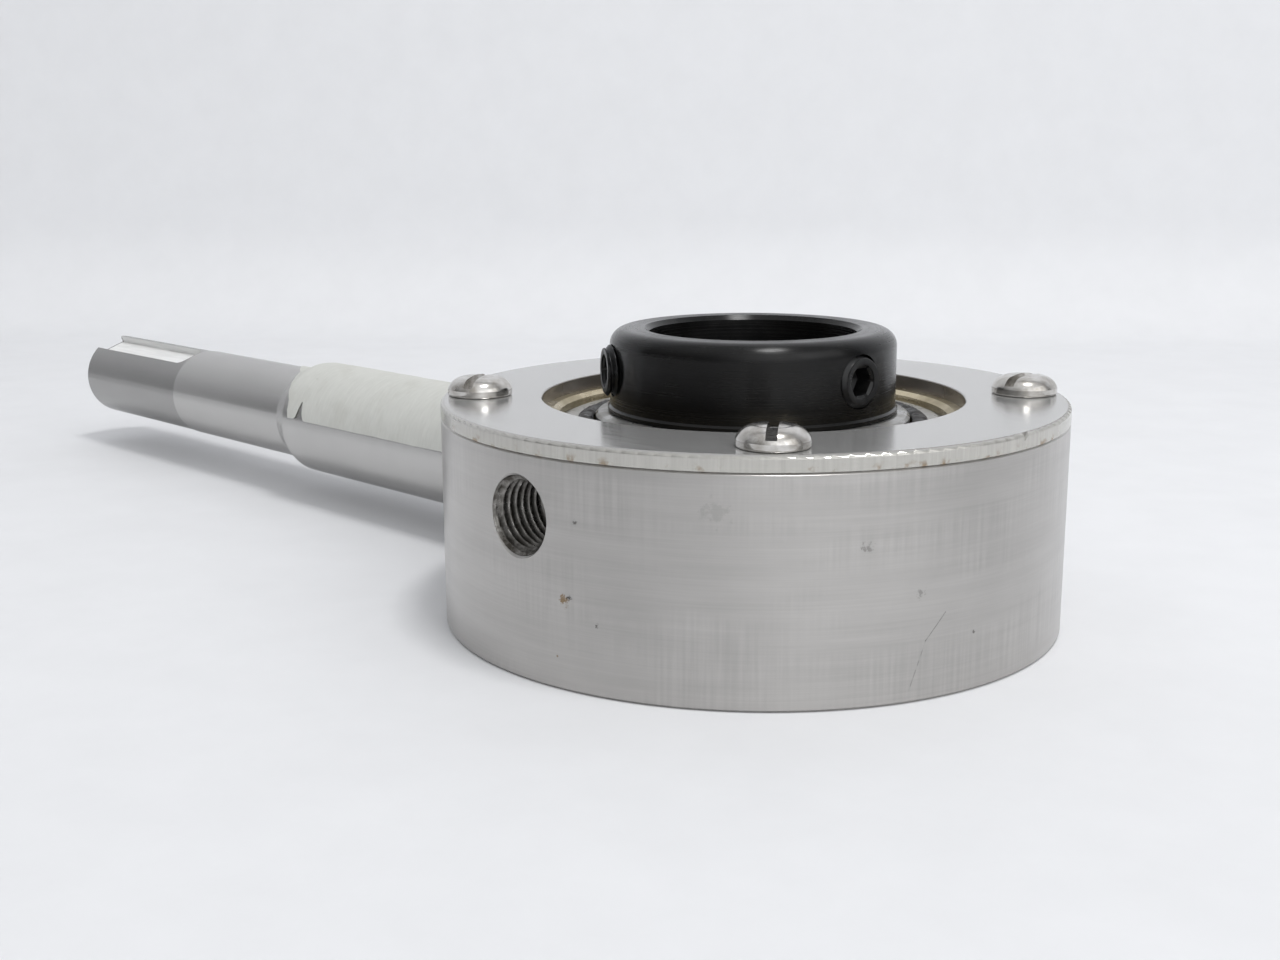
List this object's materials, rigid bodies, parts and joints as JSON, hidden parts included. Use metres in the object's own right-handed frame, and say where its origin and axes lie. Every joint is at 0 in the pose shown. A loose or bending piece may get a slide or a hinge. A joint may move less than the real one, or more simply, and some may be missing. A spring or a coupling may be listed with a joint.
{
  "type": "arm-mounted bearing housing",
  "caption": "Round stainless housing on a stepped, keyed side arm, holding a sealed insert ball bearing with a black set-screw locking collar.",
  "frame": {"origin": "on the bore axis at the plane of the ball centres", "axes": "+Z along the bore towards the set-screw collar, +X along the arm towards its free end, +Y towards the grease port"},
  "size_m": [0.3046, 0.1142, 0.0532],
  "materials": {
    "housing_steel": "turned and brushed along the rim, lightly stained",
    "plate_steel": "ground sheet with satin face",
    "arm_steel": "turned bar stock",
    "screw_steel": "bright",
    "bearing_steel": "ground and oily",
    "black_oxide": "black oxide, oiled",
    "black_screw": "black oxide",
    "shield_steel": "zinc-plated pressing",
    "seal_rubber": "matte",
    "cage_steel": "pressed strip",
    "ball_steel": "polished",
    "tape": "creped paper tape"
  },
  "bodies": {
    "housing": {"housing": "housing_steel", "retaining_plate": "plate_steel", "cover_screw_1": "screw_steel", "cover_screw_2": "screw_steel", "cover_screw_3": "screw_steel", "cover_screw_4": "screw_steel", "outer_ring": "bearing_steel", "shield_upper": "shield_steel", "shield_lower": "shield_steel", "seal_lip_upper": "seal_rubber", "seal_lip_lower": "seal_rubber", "arm": "arm_steel", "tape_strip": "tape"},
    "inner_ring": {"inner_ring": "black_oxide", "flinger_upper": "shield_steel", "flinger_lower": "shield_steel"},
    "set_screw_1": {"set_screw_1": "black_screw"},
    "set_screw_2": {"set_screw_2": "black_screw"},
    "cage": {"cage_upper": "cage_steel", "cage_lower": "cage_steel", "cage_rivets": "cage_steel"},
    "ball_1": {"ball_1": "ball_steel"},
    "ball_2": {"ball_2": "ball_steel"},
    "ball_3": {"ball_3": "ball_steel"},
    "ball_4": {"ball_4": "ball_steel"},
    "ball_5": {"ball_5": "ball_steel"},
    "ball_6": {"ball_6": "ball_steel"},
    "ball_7": {"ball_7": "ball_steel"},
    "ball_8": {"ball_8": "ball_steel"},
    "ball_9": {"ball_9": "ball_steel"}
  },
  "joints": [
    {"name": "collar_spin", "type": "hinge", "parent": "housing", "child": "inner_ring", "pos_m": [0, 0, 0], "axis": [0, 0, 1], "continuous": true},
    {"name": "set_screw_1_travel", "type": "slide", "parent": "inner_ring", "child": "set_screw_1", "axis": [-0.549, -0.8358, 0], "range_m": [-0.003, 0.0012]},
    {"name": "set_screw_2_travel", "type": "slide", "parent": "inner_ring", "child": "set_screw_2", "axis": [0.9983, -0.0576, 0], "range_m": [-0.003, 0.00015]},
    {"name": "cage_orbit", "type": "hinge", "parent": "housing", "child": "cage", "pos_m": [0, 0, 0], "axis": [0, 0, 1], "continuous": true},
    {"name": "ball_1_spin", "type": "hinge", "parent": "cage", "child": "ball_1", "pos_m": [0.03, 0, 0], "axis": [0, 0, 1], "continuous": true},
    {"name": "ball_2_spin", "type": "hinge", "parent": "cage", "child": "ball_2", "pos_m": [0.02298, 0.01928, 0], "axis": [0, 0, 1], "continuous": true},
    {"name": "ball_3_spin", "type": "hinge", "parent": "cage", "child": "ball_3", "pos_m": [0.00521, 0.02954, 0], "axis": [0, 0, 1], "continuous": true},
    {"name": "ball_4_spin", "type": "hinge", "parent": "cage", "child": "ball_4", "pos_m": [-0.015, 0.02598, 0], "axis": [0, 0, 1], "continuous": true},
    {"name": "ball_5_spin", "type": "hinge", "parent": "cage", "child": "ball_5", "pos_m": [-0.02819, 0.01026, 0], "axis": [0, 0, 1], "continuous": true},
    {"name": "ball_6_spin", "type": "hinge", "parent": "cage", "child": "ball_6", "pos_m": [-0.02819, -0.01026, 0], "axis": [0, 0, 1], "continuous": true},
    {"name": "ball_7_spin", "type": "hinge", "parent": "cage", "child": "ball_7", "pos_m": [-0.015, -0.02598, 0], "axis": [0, 0, 1], "continuous": true},
    {"name": "ball_8_spin", "type": "hinge", "parent": "cage", "child": "ball_8", "pos_m": [0.00521, -0.02954, 0], "axis": [0, 0, 1], "continuous": true},
    {"name": "ball_9_spin", "type": "hinge", "parent": "cage", "child": "ball_9", "pos_m": [0.02298, -0.01928, 0], "axis": [0, 0, 1], "continuous": true}
  ],
  "couplings": [
    {"joint": "cage_orbit", "follows": "collar_spin", "ratio": 0.39417},
    {"joint": "ball_1_spin", "follows": "collar_spin", "ratio": -2.2564},
    {"joint": "ball_2_spin", "follows": "collar_spin", "ratio": -2.2564},
    {"joint": "ball_3_spin", "follows": "collar_spin", "ratio": -2.2564},
    {"joint": "ball_4_spin", "follows": "collar_spin", "ratio": -2.2564},
    {"joint": "ball_5_spin", "follows": "collar_spin", "ratio": -2.2564},
    {"joint": "ball_6_spin", "follows": "collar_spin", "ratio": -2.2564},
    {"joint": "ball_7_spin", "follows": "collar_spin", "ratio": -2.2564},
    {"joint": "ball_8_spin", "follows": "collar_spin", "ratio": -2.2564},
    {"joint": "ball_9_spin", "follows": "collar_spin", "ratio": -2.2564}
  ]
}
